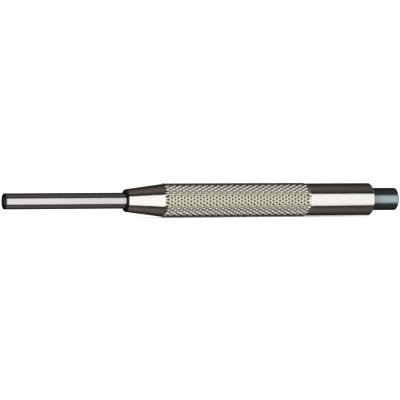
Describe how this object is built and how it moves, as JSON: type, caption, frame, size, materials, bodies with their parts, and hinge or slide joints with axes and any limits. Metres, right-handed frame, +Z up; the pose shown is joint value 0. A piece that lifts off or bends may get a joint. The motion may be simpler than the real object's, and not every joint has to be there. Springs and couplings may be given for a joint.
{
  "type": "sleeved pin punch",
  "caption": "Slim drive pin in a sprung guide sleeve that slides back into a round diamond-knurled barrel, with a plain round striking head.",
  "frame": {"origin": "centre of the guide sleeve's end face, which is the working tip, on the tool's axis", "axes": "+X along the tool's axis from the tip to the striking head, +Z up as the tool lies on a bench"},
  "size_m": [0.1273, 0.0104, 0.0104],
  "materials": {
    "plated_barrel": "bright nickel plate over a turned and knurled steel barrel",
    "ground_sleeve": "drawn and polished steel tube",
    "inner_steel": "turned steel, left as machined",
    "spring_steel": "drawn spring wire, lightly oiled",
    "hardened_pin": "hardened and ground tool steel, dulled at the end by use",
    "blued_head": "blued tool steel, satin"
  },
  "bodies": {
    "barrel": {"barrel": "plated_barrel", "return_spring": "spring_steel", "pin_holder": "inner_steel", "drive_pin": "hardened_pin", "thrust_disc": "inner_steel", "striking_head": "blued_head"},
    "follower": {"spring_follower": "inner_steel"},
    "sleeve": {"guide_sleeve": "ground_sleeve", "sleeve_collar": "inner_steel"}
  },
  "joints": [
    {"name": "sleeve_slide", "type": "slide", "parent": "barrel", "child": "follower", "axis": [1, 0, 0], "range_m": [0, 0.03], "stiffness_N_per_m": 250, "springref_m": -0.012, "deforming": ["return_spring"]},
    {"name": "sleeve_turn", "type": "hinge", "parent": "follower", "child": "sleeve", "pos_m": [0, 0, 0], "axis": [1, 0, 0], "continuous": true}
  ]
}
